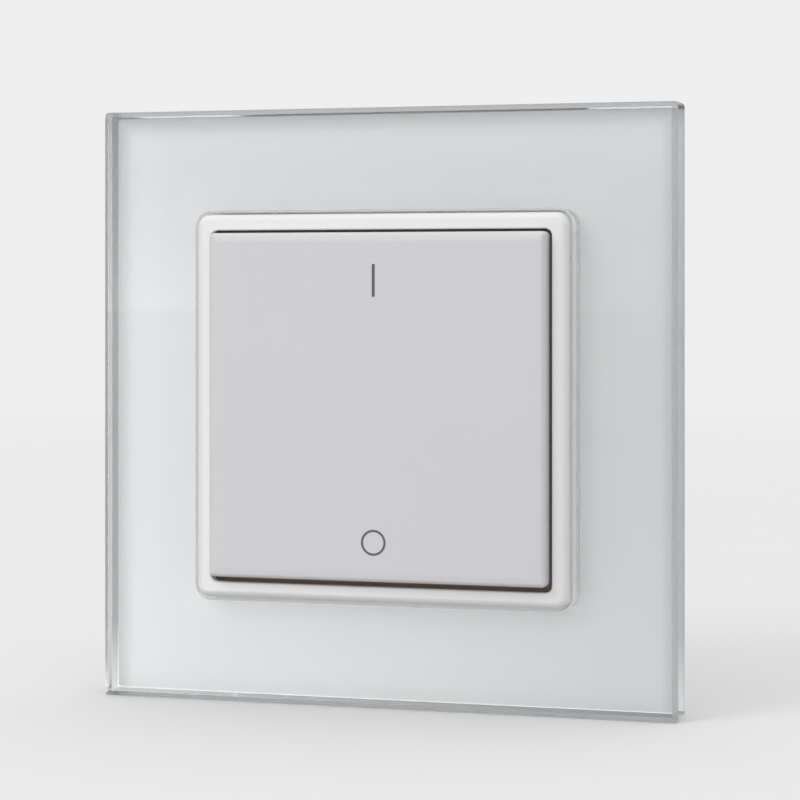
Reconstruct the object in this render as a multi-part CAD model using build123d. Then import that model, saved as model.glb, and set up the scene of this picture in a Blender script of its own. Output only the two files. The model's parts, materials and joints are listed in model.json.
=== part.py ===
from build123d import *

import os
from math import radians, tan

# Wireless wall dimmer: a rocker key on a battery radio module, in a glass frame.
# Millimetres. The wall is the plane Y = 0, the front faces -Y, +X is to the right and +Z is up.
# A depth is a distance from the wall towards the front. The origin is the centre of the wall
# plate's screw holes, on the wall.

# Sizes across the front follow each other outwards and inwards from the bezel: the module, the
# screws, the wall plate, the carrier and the glass outwards, and the key and cradle inwards.

# Glass frame
glass_overhang = 3.0
glass_thickness = 6.0
glass_corner_radius = 0.6
glass_arris = 0.75
opening_arris = 0.3
enamel_thickness = 0.2
enamel_margin = 0.1
tape_thickness = 0.5
tape_width = 3.6

# Plastic carrier behind the glass
carrier_corner_radius = 2.2
carrier_web = 1.5
carrier_skirt_wall = 1.8
carrier_wall_gap = 0.4
carrier_rail = 6.0
carrier_window_radius = 1.5
carrier_ledge_width = 1.6
carrier_ledge_thickness = 0.8
carrier_edge_chamfer = 0.4
pry_notch_width = 9.0
pry_notch_height = 0.9

# Wall plate
plate_clearance = 0.4
plate_corner_radius = 1.8
plate_floor = 1.8
screw_slot_length = 6.4
screw_slot_width = 4.2
screw_slot_inner_web = 1.8
screw_slot_outer_web = 4.6
pad_thickness = 0.8
pad_clearance = 0.15
pad_margin = 1.0
pad_window_gap = 0.8
corner_rib_width = 1.2
corner_rib_height = 1.1
corner_rib_length = 12.0
corner_rib_setback = 1.4
frame_hook_width = 7.0
frame_hook_thickness = 1.2
frame_hook_spacing = 36.0
frame_hook_clearance = 0.3
frame_hook_reach = 1.3
frame_hook_play = 0.05
module_hook_width = 6.0
module_hook_thickness = 1.2
module_hook_spacing = 20.0
module_hook_clearance = 0.3
module_hook_height = 3.1
module_hook_barb = 0.7
module_hook_barb_height = 1.0

# Bezel
bezel_side = 55.5
bezel_corner_radius = 1.8
bezel_gap = 0.3
bezel_stand = 1.2
bezel_border = 2.3
bezel_inner_radius = 1.0
bezel_outer_fillet = 1.1
bezel_inner_chamfer = 0.15
bezel_border_thickness = 1.6
bezel_skirt_wall = 1.0
bezel_skirt_past_nub = 1.6
bezel_nub_length = 8.0
bezel_nub_height = 0.4
bezel_nub_depth = 0.55
bezel_nub_play = 0.05

# Radio module housing
module_skirt_gap = 1.95
module_corner_radius = 1.5
module_wall = 1.2
module_floor = 1.0
module_wall_gap = 0.5
module_window_clearance = 0.2
module_flange_width = 1.5
module_flange_thickness = 1.0
cover_clearance = 0.1
cover_thickness = 1.2
cover_corner_radius = 0.8
cover_rim_width = 0.9
boss_wall = 0.55
boss_setback = 2.4
pillar_radius = 2.2
housing_screw_radius = 0.9
housing_screw_bite = 0.5
housing_screw_head_radius = 1.8
housing_screw_head_height = 1.0
housing_screw_hole_clearance = 0.15
housing_screw_thread_clearance = 0.03
screw_recess_length = 2.2
screw_recess_width = 0.5
screw_recess_depth = 0.6
screw_head_sink = 0.2

# Circuit board and what is soldered to it
board_clearance = 0.2
board_thickness = 0.8
board_corner_radius = 1.0
pad_radius = 2.0
pad_height = 0.05
part_spacing = 1.2
chip_side = 5.0
chip_height = 0.85
crystal_length = 3.2
crystal_width = 2.5
crystal_height = 0.7
antenna_length = 8.0
antenna_width = 2.0
antenna_height = 1.2
antenna_edge_gap = 1.9
capacitor_length = 2.0
capacitor_width = 1.25
capacitor_height = 0.9
capacitors_by_chip = 2
capacitors_by_contact = 3
bulk_length = 6.0
bulk_width = 3.2
bulk_height = 1.9

# Coin cell and its contacts
cell_radius = 12.25
cell_thickness = 3.0
cell_edge_fillet = 0.5
cell_cap_radius = 10.6
cell_cap_height = 0.4
cell_seat_depth = 0.9
well_clearance = 0.3
well_wall = 0.9
well_height = 2.2
nib_reach = 0.9
nib_width = 4.0
nib_count = 3
nib_first_angle = 90.0
contact_thickness = 0.3
contact_width = 5.0
contact_foot = 4.0
contact_gap = 0.05
negative_reach = 5.0
negative_width = 2.4

# Rocker key, cradle and plungers
key_side_gap = 0.45
key_end_gap = 0.65
key_corner_radius = 0.6
key_edge_fillet = 0.55
key_stand = 3.3
key_offset_z = 0.25
key_front_wall = 1.5
key_side_wall = 1.3
key_cover_clearance = 0.5
key_post_radius = 2.0
key_tilt = 1.6
hinge_radius = 1.0
hinge_clearance = 0.05
ear_thickness = 1.5
ear_radius = 1.8
ear_clearance = 0.35
ear_side_clearance = 0.8
cradle_end_margin = 2.5
cradle_thickness = 1.2
cradle_corner_radius = 2.0
cradle_swing_clearance = 0.1
cradle_window_post_gap = 3.0
cradle_window_height = 9.0
cradle_window_z = 8.0
leg_thickness = 1.2
leg_width = 5.0
leg_setback = 3.0
leg_z = 7.0
leg_clearance = 0.3
barb_reach = 0.6
barb_height = 0.45
barb_play = 0.05
plunger_radius = 2.02
plunger_guide_clearance = 0.08
plunger_setback_x = 9.6
plunger_setback_z = 6.6
plunger_flange_radius = 2.9
plunger_flange_thickness = 0.4
plunger_flange_clearance = 0.12
plunger_chamfer = 0.3
plunger_key_gap = 0.08

# Silicone dome mat
mat_thickness = 0.4
mat_margin = 0.3
mat_bridge_width = 4.0
dome_height = 1.2
dome_base_radius = 4.0
dome_top_radius = 2.4
dome_wall = 0.35
pill_radius = 1.4
pill_thickness = 0.3

# Sizes and places across the front that follow from the sizes above. The screws come out at the
# 60 mm of a wall box and the glass at 86 mm.
opening_side = bezel_side + 2 * bezel_gap
opening_radius = bezel_corner_radius + bezel_gap
bezel_window = bezel_side - 2 * bezel_border
skirt_inner = bezel_side - 2 * bezel_skirt_wall
cover_side = skirt_inner - 2 * cover_clearance
module_side = skirt_inner - 2 * module_skirt_gap
module_inner = module_side - 2 * module_wall
board_side = module_inner - 2 * board_clearance
plate_window = module_side + 2 * module_window_clearance
screw_spacing = plate_window + 2 * screw_slot_inner_web + screw_slot_length
plate_side = screw_spacing + screw_slot_length + 2 * screw_slot_outer_web
carrier_side = plate_side + 2 * (carrier_skirt_wall + plate_clearance)
carrier_window = carrier_side - 2 * carrier_rail
glass_side = carrier_side + 2 * glass_overhang
pad_side = (plate_side - plate_window) / 2 - pad_margin - pad_window_gap
hook_x = plate_window / 2 + module_hook_clearance - module_window_clearance
screw_place = module_inner / 2 - boss_setback
boss_radius = housing_screw_head_radius + housing_screw_hole_clearance + boss_wall
plunger_x = module_inner / 2 - plunger_setback_x
plunger_z = module_inner / 2 - plunger_setback_z
key_width = bezel_window - 2 * key_side_gap
key_height = bezel_window - 2 * key_end_gap
ear_outer = key_width / 2 - key_side_wall - ear_side_clearance
ear_inner = ear_outer - ear_thickness
cradle_width = 2 * (ear_inner - ear_clearance)
cradle_height = 2 * (plunger_z + cradle_end_margin)
cradle_window_width = 2 * (plunger_x - key_post_radius - cradle_window_post_gap)
leg_x = cradle_width / 2 - leg_setback
well_radius = cell_radius + well_clearance
well_outside = well_radius + well_wall
beside_well = (well_outside + board_side / 2) / 2
capacitor_pitch = capacitor_width + part_spacing
signs = (-1, 1)
edge_tolerance = 0.0001

# Depths that follow from the sizes above, from the wall to the front
web_front = plate_floor + carrier_web
enamel_back = web_front + tape_thickness
glass_back = enamel_back + enamel_thickness
glass_front = glass_back + glass_thickness
bezel_front = glass_front + bezel_stand
border_back = bezel_front - bezel_border_thickness
key_front = glass_front + key_stand
floor_front = module_wall_gap + module_floor
cell_front = cell_seat_depth + cell_thickness
board_back = cell_front + contact_thickness
board_front = board_back + board_thickness
dome_top = board_front + dome_height
plunger_travel = plunger_z * tan(radians(key_tilt))
cover_back = dome_top + plunger_flange_thickness + plunger_travel + plunger_flange_clearance
cover_front = cover_back + cover_thickness
cradle_edge_travel = cradle_height / 2 * tan(radians(key_tilt))
cradle_back = cover_front + cradle_edge_travel + cradle_swing_clearance
cradle_front = cradle_back + cradle_thickness
hinge_depth = cradle_back + cradle_thickness / 2
key_edge_travel = (key_height / 2 + key_offset_z) * tan(radians(key_tilt))
key_back = cover_front + key_edge_travel + key_cover_clearance
screw_seat = module_wall_gap + screw_head_sink + housing_screw_head_height
screw_end = cover_back + housing_screw_bite


def slab(width, height, back, front, radius=0.0, x=0.0, z=0.0):
    """A plate with rounded corners between two depths."""
    outline = RectangleRounded(width, height, radius) if radius > 0 else Rectangle(width, height)
    return extrude(Plane.XZ.offset(back) * Pos(x, z) * outline, front - back)


def disc(radius, back, front, x=0.0, z=0.0):
    """A round pin or hole between two depths."""
    return extrude(Plane.XZ.offset(back) * Pos(x, z) * Circle(radius), front - back)


def ring(outer, inner, back, front, outer_radius=0.0, inner_radius=0.0):
    """A square frame between two depths."""
    frame = slab(outer, outer, back, front, outer_radius)
    return frame - slab(inner, inner, back, front, inner_radius)


def span(x_from, x_to, z_from, z_to, back, front):
    """A block given by its limits, in any order across the front."""
    width, height = abs(x_to - x_from), abs(z_to - z_from)
    return slab(width, height, back, front, x=(x_from + x_to) / 2, z=(z_from + z_to) / 2)


def rim(part, depth, reach=None):
    """The edges that lie at one depth, all of them or only those within reach of the centre."""
    found = []
    for edge in part.edges():
        box = edge.bounding_box()
        flat = abs(box.min.Y + depth) < edge_tolerance and abs(box.max.Y + depth) < edge_tolerance
        far = max(-box.min.X, box.max.X, -box.min.Z, box.max.Z)
        if flat and (reach is None or far <= reach + edge_tolerance):
            found.append(edge)
    return found


def corners(half):
    """The four corners of a square."""
    return [(i * half, k * half) for i in signs for k in signs]


def glass_panel():
    """Clear plate, ground to a bevel along every edge."""
    plate = slab(glass_side, glass_side, glass_back, glass_front)
    plate = chamfer(rim(plate, glass_front) + rim(plate, glass_back), glass_arris)
    plate &= slab(glass_side, glass_side, glass_back, glass_front, glass_corner_radius)
    plate -= slab(opening_side, opening_side, glass_back, glass_front, opening_radius)
    reach = opening_side / 2
    return chamfer(rim(plate, glass_front, reach) + rim(plate, glass_back, reach), opening_arris)


def enamel_layer():
    """White print on the flat back of the glass, inside the bevels."""
    outer_inset = glass_arris + enamel_margin
    inner_inset = opening_arris + enamel_margin
    outer = glass_side - 2 * outer_inset
    inner = opening_side + 2 * inner_inset
    return ring(outer, inner, enamel_back, glass_back, glass_corner_radius, opening_radius + inner_inset)


def carrier_tape():
    """Double-sided foam between the print and the carrier."""
    inner = carrier_window + 2 * carrier_ledge_width
    outer = inner + 2 * tape_width
    return ring(outer, inner, web_front, enamel_back, carrier_corner_radius, carrier_window_radius)


def glass_carrier():
    """Plastic frame: a web round a window, and a skirt that hides the wall plate."""
    body = slab(carrier_side, carrier_side, carrier_wall_gap, web_front, carrier_corner_radius)
    body = chamfer(rim(body, carrier_wall_gap), carrier_edge_chamfer)
    hollow = carrier_side - 2 * carrier_skirt_wall
    body -= slab(hollow, hollow, carrier_wall_gap, plate_floor, carrier_corner_radius)
    body -= slab(carrier_window, carrier_window, plate_floor, web_front, carrier_window_radius)
    ledge = carrier_window + 2 * carrier_ledge_width
    body -= slab(ledge, ledge, plate_floor + carrier_ledge_thickness, web_front, carrier_window_radius)
    notch_front = carrier_wall_gap + pry_notch_height
    skirt_outside = -carrier_side / 2
    skirt_inside = skirt_outside + carrier_skirt_wall
    return body - span(
        -pry_notch_width / 2, pry_notch_width / 2, skirt_outside, skirt_inside, carrier_wall_gap, notch_front
    )


def pad_places():
    """Centres of the four adhesive pads, in the plate's corners."""
    return corners(plate_side / 2 - pad_margin - pad_side / 2)


def adhesive_pads():
    """Foam pads let into the back of the wall plate, flush with it."""
    return [slab(pad_side, pad_side, 0, pad_thickness, x=x, z=z) for x, z in pad_places()]


def frame_hook(side, z):
    """Arm of the wall plate that catches the carrier's ledge."""
    outside = carrier_window / 2 - frame_hook_clearance
    inside = outside - frame_hook_thickness
    lip = outside + frame_hook_reach
    low, high = z - frame_hook_width / 2, z + frame_hook_width / 2
    lip_back = plate_floor + carrier_ledge_thickness + frame_hook_play
    arm = span(side * inside, side * outside, low, high, plate_floor, web_front)
    return arm + span(side * outside, side * lip, low, high, lip_back, web_front)


def module_hook(side, z):
    """Arm of the wall plate that catches a notch in the module's side wall."""
    outside = hook_x + module_hook_thickness
    tip = hook_x - module_hook_barb
    low, high = z - module_hook_width / 2, z + module_hook_width / 2
    top = plate_floor + module_hook_height
    arm = span(side * hook_x, side * outside, low, high, plate_floor, top)
    return arm + span(side * tip, side * hook_x, low, high, top - module_hook_barb_height, top)


def corner_rib(i, k):
    """L-shaped stiffening rib in one corner of the wall plate."""
    outer = carrier_window / 2 - corner_rib_setback
    inner = outer - corner_rib_width
    start = outer - corner_rib_length
    top = plate_floor + corner_rib_height
    upright = span(i * inner, i * outer, k * start, k * outer, plate_floor, top)
    return upright + span(i * start, i * outer, k * inner, k * outer, plate_floor, top)


def wall_plate():
    """Plate on the wall, with a window for the module, screw slots and two sets of hooks."""
    plate = slab(plate_side, plate_side, 0, plate_floor, plate_corner_radius)
    plate -= slab(plate_window, plate_window, 0, plate_floor, module_corner_radius)
    slot = SlotOverall(screw_slot_length, screw_slot_width)
    for side in signs:
        place = side * screw_spacing / 2
        plate -= extrude(Plane.XZ * Pos(place, 0) * slot, plate_floor)
        plate -= extrude(Plane.XZ * Pos(0, place) * Rot(0, 0, 90) * slot, plate_floor)
    recess = pad_side + 2 * pad_clearance
    for x, z in pad_places():
        plate -= slab(recess, recess, 0, pad_thickness, x=x, z=z)
    for i, k in corners(1):
        plate += corner_rib(i, k)
        plate += frame_hook(i, k * frame_hook_spacing / 2)
        plate += module_hook(i, k * module_hook_spacing / 2)
    return plate


def bezel():
    """Glossy inner frame with a rounded outer edge and a skirt that snaps over the module cover."""
    nub_front = cover_back - bezel_nub_play
    nub_back = nub_front - bezel_nub_depth
    skirt_back = nub_back - bezel_skirt_past_nub
    body = slab(bezel_side, bezel_side, skirt_back, bezel_front, bezel_corner_radius)
    body = fillet(rim(body, bezel_front), bezel_outer_fillet)
    body -= slab(bezel_window, bezel_window, border_back, bezel_front, bezel_inner_radius)
    body = chamfer(rim(body, bezel_front, bezel_window / 2), bezel_inner_chamfer)
    body -= slab(skirt_inner, skirt_inner, skirt_back, border_back, cover_corner_radius)
    inside = skirt_inner / 2
    tip = inside - bezel_nub_height
    half = bezel_nub_length / 2
    for side in signs:
        body += span(side * tip, side * inside, -half, half, nub_back, nub_front)
        body += span(-half, half, side * tip, side * inside, nub_back, nub_front)
    return body


def module_base():
    """Rear shell of the module, with the coin cell's well and the bosses for the board."""
    base = slab(module_side, module_side, module_wall_gap, cover_back, module_corner_radius)
    cavity_radius = module_corner_radius - module_wall
    base -= slab(module_inner, module_inner, floor_front, cover_back, cavity_radius)
    flange_side = module_side + 2 * module_flange_width
    flange_front = plate_floor + module_flange_thickness
    radius = module_corner_radius
    flange = ring(flange_side, module_side, plate_floor, flange_front, radius, radius)
    hook_room = module_hook_width / 2 + module_hook_clearance
    hook_top = plate_floor + module_hook_height
    notch_floor = hook_x - module_hook_barb - module_hook_clearance
    notches = []
    for i, k in corners(1):
        z = k * module_hook_spacing / 2
        low, high = z - hook_room, z + hook_room
        flange -= span(i * module_side / 2, i * flange_side / 2, low, high, plate_floor, flange_front)
        notch_back = hook_top - module_hook_barb_height - module_hook_clearance / 2
        notch_front = hook_top + module_hook_clearance / 2
        notches.append(span(i * notch_floor, i * module_side / 2, low, high, notch_back, notch_front))
    base += flange
    for notch in notches:
        base -= notch
    base += disc(well_outside, floor_front, floor_front + well_height)
    for x, z in corners(screw_place):
        base += disc(boss_radius, floor_front, board_back, x, z)
    base -= disc(well_radius, module_wall_gap, floor_front + well_height)
    contact_room = contact_width / 2 + contact_gap + well_clearance
    base -= span(0, well_outside, -contact_room, contact_room, floor_front, board_back)
    nib = Rectangle(well_wall + nib_reach, nib_width)
    nib_place = Pos(well_radius + (well_wall - nib_reach) / 2, 0)
    for n in range(nib_count):
        turn = Plane.XZ.offset(module_wall_gap) * Rot(0, 0, nib_first_angle + n * 360 / nib_count)
        base += extrude(turn * nib_place * nib, cell_seat_depth - module_wall_gap)
    head_room = housing_screw_head_radius + housing_screw_hole_clearance
    shank_room = housing_screw_radius + housing_screw_hole_clearance
    for x, z in corners(screw_place):
        base -= disc(head_room, module_wall_gap, screw_seat, x, z)
        base -= disc(shank_room, screw_seat, board_back, x, z)
    return base


def module_cover():
    """Front plate of the module: plunger guides, hinge ears, a rim under the bezel and pillars."""
    cover = slab(cover_side, cover_side, cover_back, cover_front, cover_corner_radius)
    rim_inner = cover_side - 2 * cover_rim_width
    cover += ring(cover_side, rim_inner, cover_front, border_back, cover_corner_radius, cover_corner_radius)
    for x, z in corners(screw_place):
        cover += disc(pillar_radius, board_front, cover_back, x, z)
        pilot = housing_screw_radius + housing_screw_thread_clearance
        cover -= disc(pilot, board_front, screw_end + housing_screw_thread_clearance, x, z)
    guide = plunger_radius + plunger_guide_clearance
    for x, z in dome_places():
        cover -= disc(guide, cover_back, cover_front, x, z)
    for side in signs:
        cover += ear(side)
    return cover


def ear(side):
    """Bearing for one hinge pin, rounded over the pin."""
    across = Plane.YZ.offset(side * ear_inner)
    profile = Pos(-hinge_depth, 0) * Circle(ear_radius)
    foot_length = hinge_depth - cover_front
    profile += Pos(-cover_front - foot_length / 2, 0) * Rectangle(foot_length, 2 * ear_radius)
    profile -= Pos(-hinge_depth, 0) * Circle(hinge_radius + hinge_clearance)
    return extrude(across * profile, side * ear_thickness)


def housing_screws():
    """Four self-tapping screws with a cross recess."""
    back = screw_seat - housing_screw_head_height
    recess = ((screw_recess_length, screw_recess_width), (screw_recess_width, screw_recess_length))
    screws = []
    for x, z in corners(screw_place):
        screw = disc(housing_screw_head_radius, back, screw_seat, x, z)
        screw += disc(housing_screw_radius, screw_seat, screw_end, x, z)
        for width, height in recess:
            screw -= slab(width, height, back, back + screw_recess_depth, x=x, z=z)
        screws.append(screw)
    return screws


def circuit_board():
    """Board clamped between the base's bosses and the cover's pillars."""
    board = slab(board_side, board_side, board_back, board_front, board_corner_radius)
    for x, z in corners(screw_place):
        board -= disc(housing_screw_radius + housing_screw_hole_clearance, board_back, board_front, x, z)
    return board


def dome_places():
    """Centres of the four domes."""
    return [(i * plunger_x, k * plunger_z) for k in signs for i in signs]


def contact_pads():
    """Gold pads on the front of the board, one under each dome."""
    return [disc(pad_radius, board_front, board_front + pad_height, x, z) for x, z in dome_places()]


def dome(x, z):
    """Outer shape of one dome, above the mat."""
    profile = Polyline(
        (0, board_front),
        (dome_base_radius, board_front),
        (dome_base_radius, board_front + mat_thickness),
        (dome_top_radius, dome_top),
        (0, dome_top),
        close=True,
    )
    return turned(profile, x, z)


def dome_hollow(x, z):
    """Space inside one dome, open at the board."""
    profile = Polyline(
        (0, board_front),
        (dome_base_radius - dome_wall, board_front),
        (dome_base_radius - dome_wall, board_front + mat_thickness - dome_wall / 2),
        (dome_top_radius - dome_wall / 2, dome_top - dome_wall),
        (0, dome_top - dome_wall),
        close=True,
    )
    return turned(profile, x, z)


def turned(profile, x, z):
    """Solid of revolution about an axis square to the wall, from a profile of radius and depth."""
    across = Plane(origin=(x, 0, z), x_dir=(1, 0, 0), z_dir=(0, 0, -1))
    return revolve(across * make_face(profile), Axis((x, 0, z), (0, 1, 0)))


def dome_mat():
    """One silicone moulding: two strips, two bridges and four domes."""
    mat_front = board_front + mat_thickness
    strip_width = 2 * (dome_base_radius + mat_margin)
    strip_length = 2 * plunger_x + strip_width
    mat = slab(strip_length, strip_width, board_front, mat_front, z=plunger_z)
    mat += slab(strip_length, strip_width, board_front, mat_front, z=-plunger_z)
    for side in signs:
        mat += slab(mat_bridge_width, 2 * plunger_z, board_front, mat_front, x=side * plunger_x)
    for x, z in dome_places():
        mat += dome(x, z)
    for x, z in dome_places():
        mat -= dome_hollow(x, z)
    return mat


def plunger_pair(side):
    """The two plungers above or below the hinge, each on top of its dome."""
    top = cradle_back - plunger_key_gap
    pair = []
    for i in signs:
        x, z = i * plunger_x, side * plunger_z
        pin = disc(plunger_radius, dome_top, top, x, z)
        pin = chamfer(rim(pin, top), plunger_chamfer)
        pair.append(pin + disc(plunger_flange_radius, dome_top, dome_top + plunger_flange_thickness, x, z))
    return pair


def pill_pair(side):
    """The two carbon pills above or below the hinge, under the roofs of their domes."""
    roof = dome_top - dome_wall
    return [disc(pill_radius, roof - pill_thickness, roof, i * plunger_x, side * plunger_z) for i in signs]


def rocker_cradle():
    """Swing plate with a spine that ends in the hinge pins, and slots for the key's legs."""
    plate = slab(cradle_width, cradle_height, cradle_back, cradle_front, cradle_corner_radius)
    spine = Plane.YZ.offset(-ear_outer) * Pos(-hinge_depth, 0) * Circle(hinge_radius)
    plate += extrude(spine, 2 * ear_outer)
    window = cradle_window_width, cradle_window_height, cradle_back, cradle_front
    for side in signs:
        plate -= slab(*window, z=side * cradle_window_z)
    slot_half = leg_thickness / 2 + leg_clearance
    slot_width = leg_width / 2 + leg_clearance
    pocket_front = cradle_back + barb_height + 2 * barb_play
    for i, k in corners(1):
        x, z = i * leg_x, k * leg_z
        low, high = z - slot_width, z + slot_width
        plate -= span(x - slot_half, x + slot_half, low, high, cradle_back, cradle_front)
        outside = i * (leg_x + leg_thickness / 2 + barb_reach + leg_clearance)
        plate -= span(x, outside, low, high, cradle_back, pocket_front)
    return plate


def rocker_key():
    """Key cap: a shell with posts that rest on the cradle and four barbed legs."""
    inner_face = key_front - key_front_wall
    cap = slab(key_width, key_height, key_back, key_front, key_corner_radius, z=key_offset_z)
    cap = fillet(rim(cap, key_front), key_edge_fillet)
    hollow = key_width - 2 * key_side_wall, key_height - 2 * key_side_wall
    cap -= slab(*hollow, key_back, inner_face, z=key_offset_z)
    for x, z in dome_places():
        cap += disc(key_post_radius, cradle_front, inner_face, x, z)
    tip = cradle_back + barb_play
    for i, k in corners(1):
        x, z = i * leg_x, k * leg_z
        low, high = z - leg_width / 2, z + leg_width / 2
        cap += span(x - leg_thickness / 2, x + leg_thickness / 2, low, high, tip, inner_face)
        edge = i * (leg_x + leg_thickness / 2)
        cap += span(edge, edge + i * barb_reach, low, high, tip, tip + barb_height)
    return cap


def soldered(length, width, height, x, z):
    """A block on the back of the board, standing off towards the wall."""
    return slab(length, width, board_back - height, board_back, x=x, z=z)


def capacitors():
    """Small capacitors beside the chip and in a column on the other side."""
    by_chip = chip_side / 2 + part_spacing + capacitor_width / 2
    by_contact = contact_width / 2 + part_spacing + capacitor_width / 2
    places = [(-beside_well, -by_chip - n * capacitor_pitch) for n in range(capacitors_by_chip)]
    places += [(beside_well, by_contact + n * capacitor_pitch) for n in range(capacitors_by_contact)]
    return [soldered(capacitor_length, capacitor_width, capacitor_height, x, z) for x, z in places]


def radio_chip():
    """The radio and its processor, left of the coin cell's well."""
    return soldered(chip_side, chip_side, chip_height, -beside_well, 0)


def crystal():
    """Clock crystal in its metal can, above the chip."""
    z = chip_side / 2 + part_spacing + crystal_width / 2
    return soldered(crystal_length, crystal_width, crystal_height, -beside_well, z)


def chip_antenna():
    """Ceramic antenna at the top edge of the board."""
    z = board_side / 2 - antenna_edge_gap - antenna_width / 2
    return soldered(antenna_length, antenna_width, antenna_height, 0, z)


def bulk_capacitor():
    """Larger capacitor that carries the radio's bursts, below the well."""
    return soldered(bulk_length, bulk_width, bulk_height, 0, -beside_well)


def coin_cell():
    """Lithium coin cell: the can, and the smaller cap towards the board."""
    can_front = cell_front - cell_cap_height
    can = disc(cell_radius, cell_seat_depth, can_front)
    can = fillet(rim(can, cell_seat_depth), cell_edge_fillet)
    return can + disc(cell_cap_radius, can_front, cell_front)


def positive_contact():
    """Bent strip: it presses on the cell's rim, and its foot is soldered to the board."""
    inside = cell_radius + contact_gap
    outside = inside + contact_thickness
    half = contact_width / 2
    foot_end = outside + contact_foot
    strip = span(inside, outside, -half, half, floor_front + contact_gap, board_back)
    return strip + span(outside, foot_end, -half, half, board_back - contact_thickness, board_back)


def negative_contact():
    """Cross of spring strip between the cell's cap and the board."""
    cross = slab(2 * negative_reach, negative_width, cell_front, board_back)
    return cross + slab(negative_width, 2 * negative_reach, cell_front, board_back)


nodes = {
    "glass_panel": glass_panel(),
    "enamel_layer": enamel_layer(),
    "carrier_tape": carrier_tape(),
    "glass_carrier": glass_carrier(),
    "wall_plate": wall_plate(),
    "adhesive_pads": adhesive_pads(),
    "bezel": bezel(),
    "module_base": module_base(),
    "module_cover": module_cover(),
    "housing_screws": housing_screws(),
    "circuit_board": circuit_board(),
    "contact_pads": contact_pads(),
    "dome_mat": dome_mat(),
    "upper_plungers": plunger_pair(1),
    "lower_plungers": plunger_pair(-1),
    "upper_pills": pill_pair(1),
    "lower_pills": pill_pair(-1),
    "rocker_cradle": rocker_cradle(),
    "rocker_key": rocker_key(),
    "radio_chip": radio_chip(),
    "crystal": crystal(),
    "chip_antenna": chip_antenna(),
    "capacitors": capacitors(),
    "bulk_capacitor": bulk_capacitor(),
    "coin_cell": coin_cell(),
    "positive_contact": positive_contact(),
    "negative_contact": negative_contact(),
}

os.makedirs("parts", exist_ok=True)
for name, shape in nodes.items():
    if isinstance(shape, list):
        shape = Compound(children=[Solid(piece.solid().wrapped) for piece in shape])
    export_step(shape, f"parts/{name}.step")

print("glass", round(glass_side, 4), "carrier", round(carrier_side, 4), "plate", round(plate_side, 4))
print("screws at", round(screw_spacing, 4), "module", round(module_side, 4))
print("key", round(key_width, 4), "by", round(key_height, 4), "in a window of", round(bezel_window, 4))
print("glass front at", glass_front, "bezel front at", bezel_front, "key front at", key_front)
print("cover", round(cover_back, 4), round(cover_front, 4), "hinge at depth", round(hinge_depth, 4))
print("key back", round(key_back, 4), "plunger travel each way", round(plunger_travel, 4))
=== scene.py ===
# %% [markdown]
# # A wireless dimmer switch in a glass frame
#
# The CAD model already fixes the size and the place of every part. This lesson gives each part the
# edges, the surface and the light that make it look real: a thick glass frame with white print
# behind it, a glossy bezel and a matt rocker key. The first step only loads that model, so that
# everything below is placed in its frame: metres, +Z up, the wall at Y = 0 and the front at -Y.

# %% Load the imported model
import json
import math

import bmesh
import bpy
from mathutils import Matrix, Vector


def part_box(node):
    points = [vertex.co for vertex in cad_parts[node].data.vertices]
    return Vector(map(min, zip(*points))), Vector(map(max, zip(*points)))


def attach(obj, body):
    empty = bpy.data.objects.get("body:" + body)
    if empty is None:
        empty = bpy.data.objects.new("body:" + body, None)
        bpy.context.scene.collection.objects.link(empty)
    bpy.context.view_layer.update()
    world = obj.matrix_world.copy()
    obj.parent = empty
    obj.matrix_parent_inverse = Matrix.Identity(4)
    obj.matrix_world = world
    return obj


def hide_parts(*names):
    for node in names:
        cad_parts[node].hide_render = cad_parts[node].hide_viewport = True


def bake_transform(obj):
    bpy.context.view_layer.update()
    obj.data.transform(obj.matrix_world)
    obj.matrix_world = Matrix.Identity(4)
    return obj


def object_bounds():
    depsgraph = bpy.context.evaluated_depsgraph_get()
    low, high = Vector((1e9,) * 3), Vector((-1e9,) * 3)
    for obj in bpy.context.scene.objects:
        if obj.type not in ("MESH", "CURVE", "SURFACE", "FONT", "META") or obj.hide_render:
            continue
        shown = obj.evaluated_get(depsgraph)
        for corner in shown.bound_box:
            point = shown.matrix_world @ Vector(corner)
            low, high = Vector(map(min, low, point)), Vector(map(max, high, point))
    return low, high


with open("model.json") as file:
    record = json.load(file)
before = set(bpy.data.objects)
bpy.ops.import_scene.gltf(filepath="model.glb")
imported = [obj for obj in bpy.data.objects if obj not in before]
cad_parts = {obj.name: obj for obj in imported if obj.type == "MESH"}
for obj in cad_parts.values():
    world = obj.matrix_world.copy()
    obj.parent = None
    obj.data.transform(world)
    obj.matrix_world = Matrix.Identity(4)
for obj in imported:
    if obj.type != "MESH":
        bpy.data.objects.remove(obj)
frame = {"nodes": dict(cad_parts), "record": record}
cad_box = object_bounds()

MM = 0.001


def in_mm(box):
    """The two corners of a box in millimetres."""
    return [[round(value / MM, 2) for value in corner] for corner in box]


print("CAD box in mm:", in_mm(cad_box))

# %% [markdown]
# ## The camera
#
# The photograph keeps the frame's upright edges parallel, so its camera was held level and only
# its picture was shifted down, as a shift lens does. Tilting the camera instead would make the
# edges lean. The camera stands to the right of the plate and a little above its middle, and looks
# at a point on the glass with a long lens.

# %% Camera
IMAGE_PIXELS = 800
FOCAL_PIXELS = 2647
HORIZON_PIXEL = 285.4
SENSOR_WIDTH = 36
CAMERA_TURN = math.radians(17.44)
CAMERA_DISTANCE = 377 * MM
AIM_RIGHT = 2.94 * MM
AIM_HEIGHT = 17.49 * MM
glass_low, glass_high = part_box("glass_panel")
camera_aim = Vector((AIM_RIGHT, glass_low.y, AIM_HEIGHT))
from_aim = Vector((math.sin(CAMERA_TURN), -math.cos(CAMERA_TURN), 0))

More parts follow.
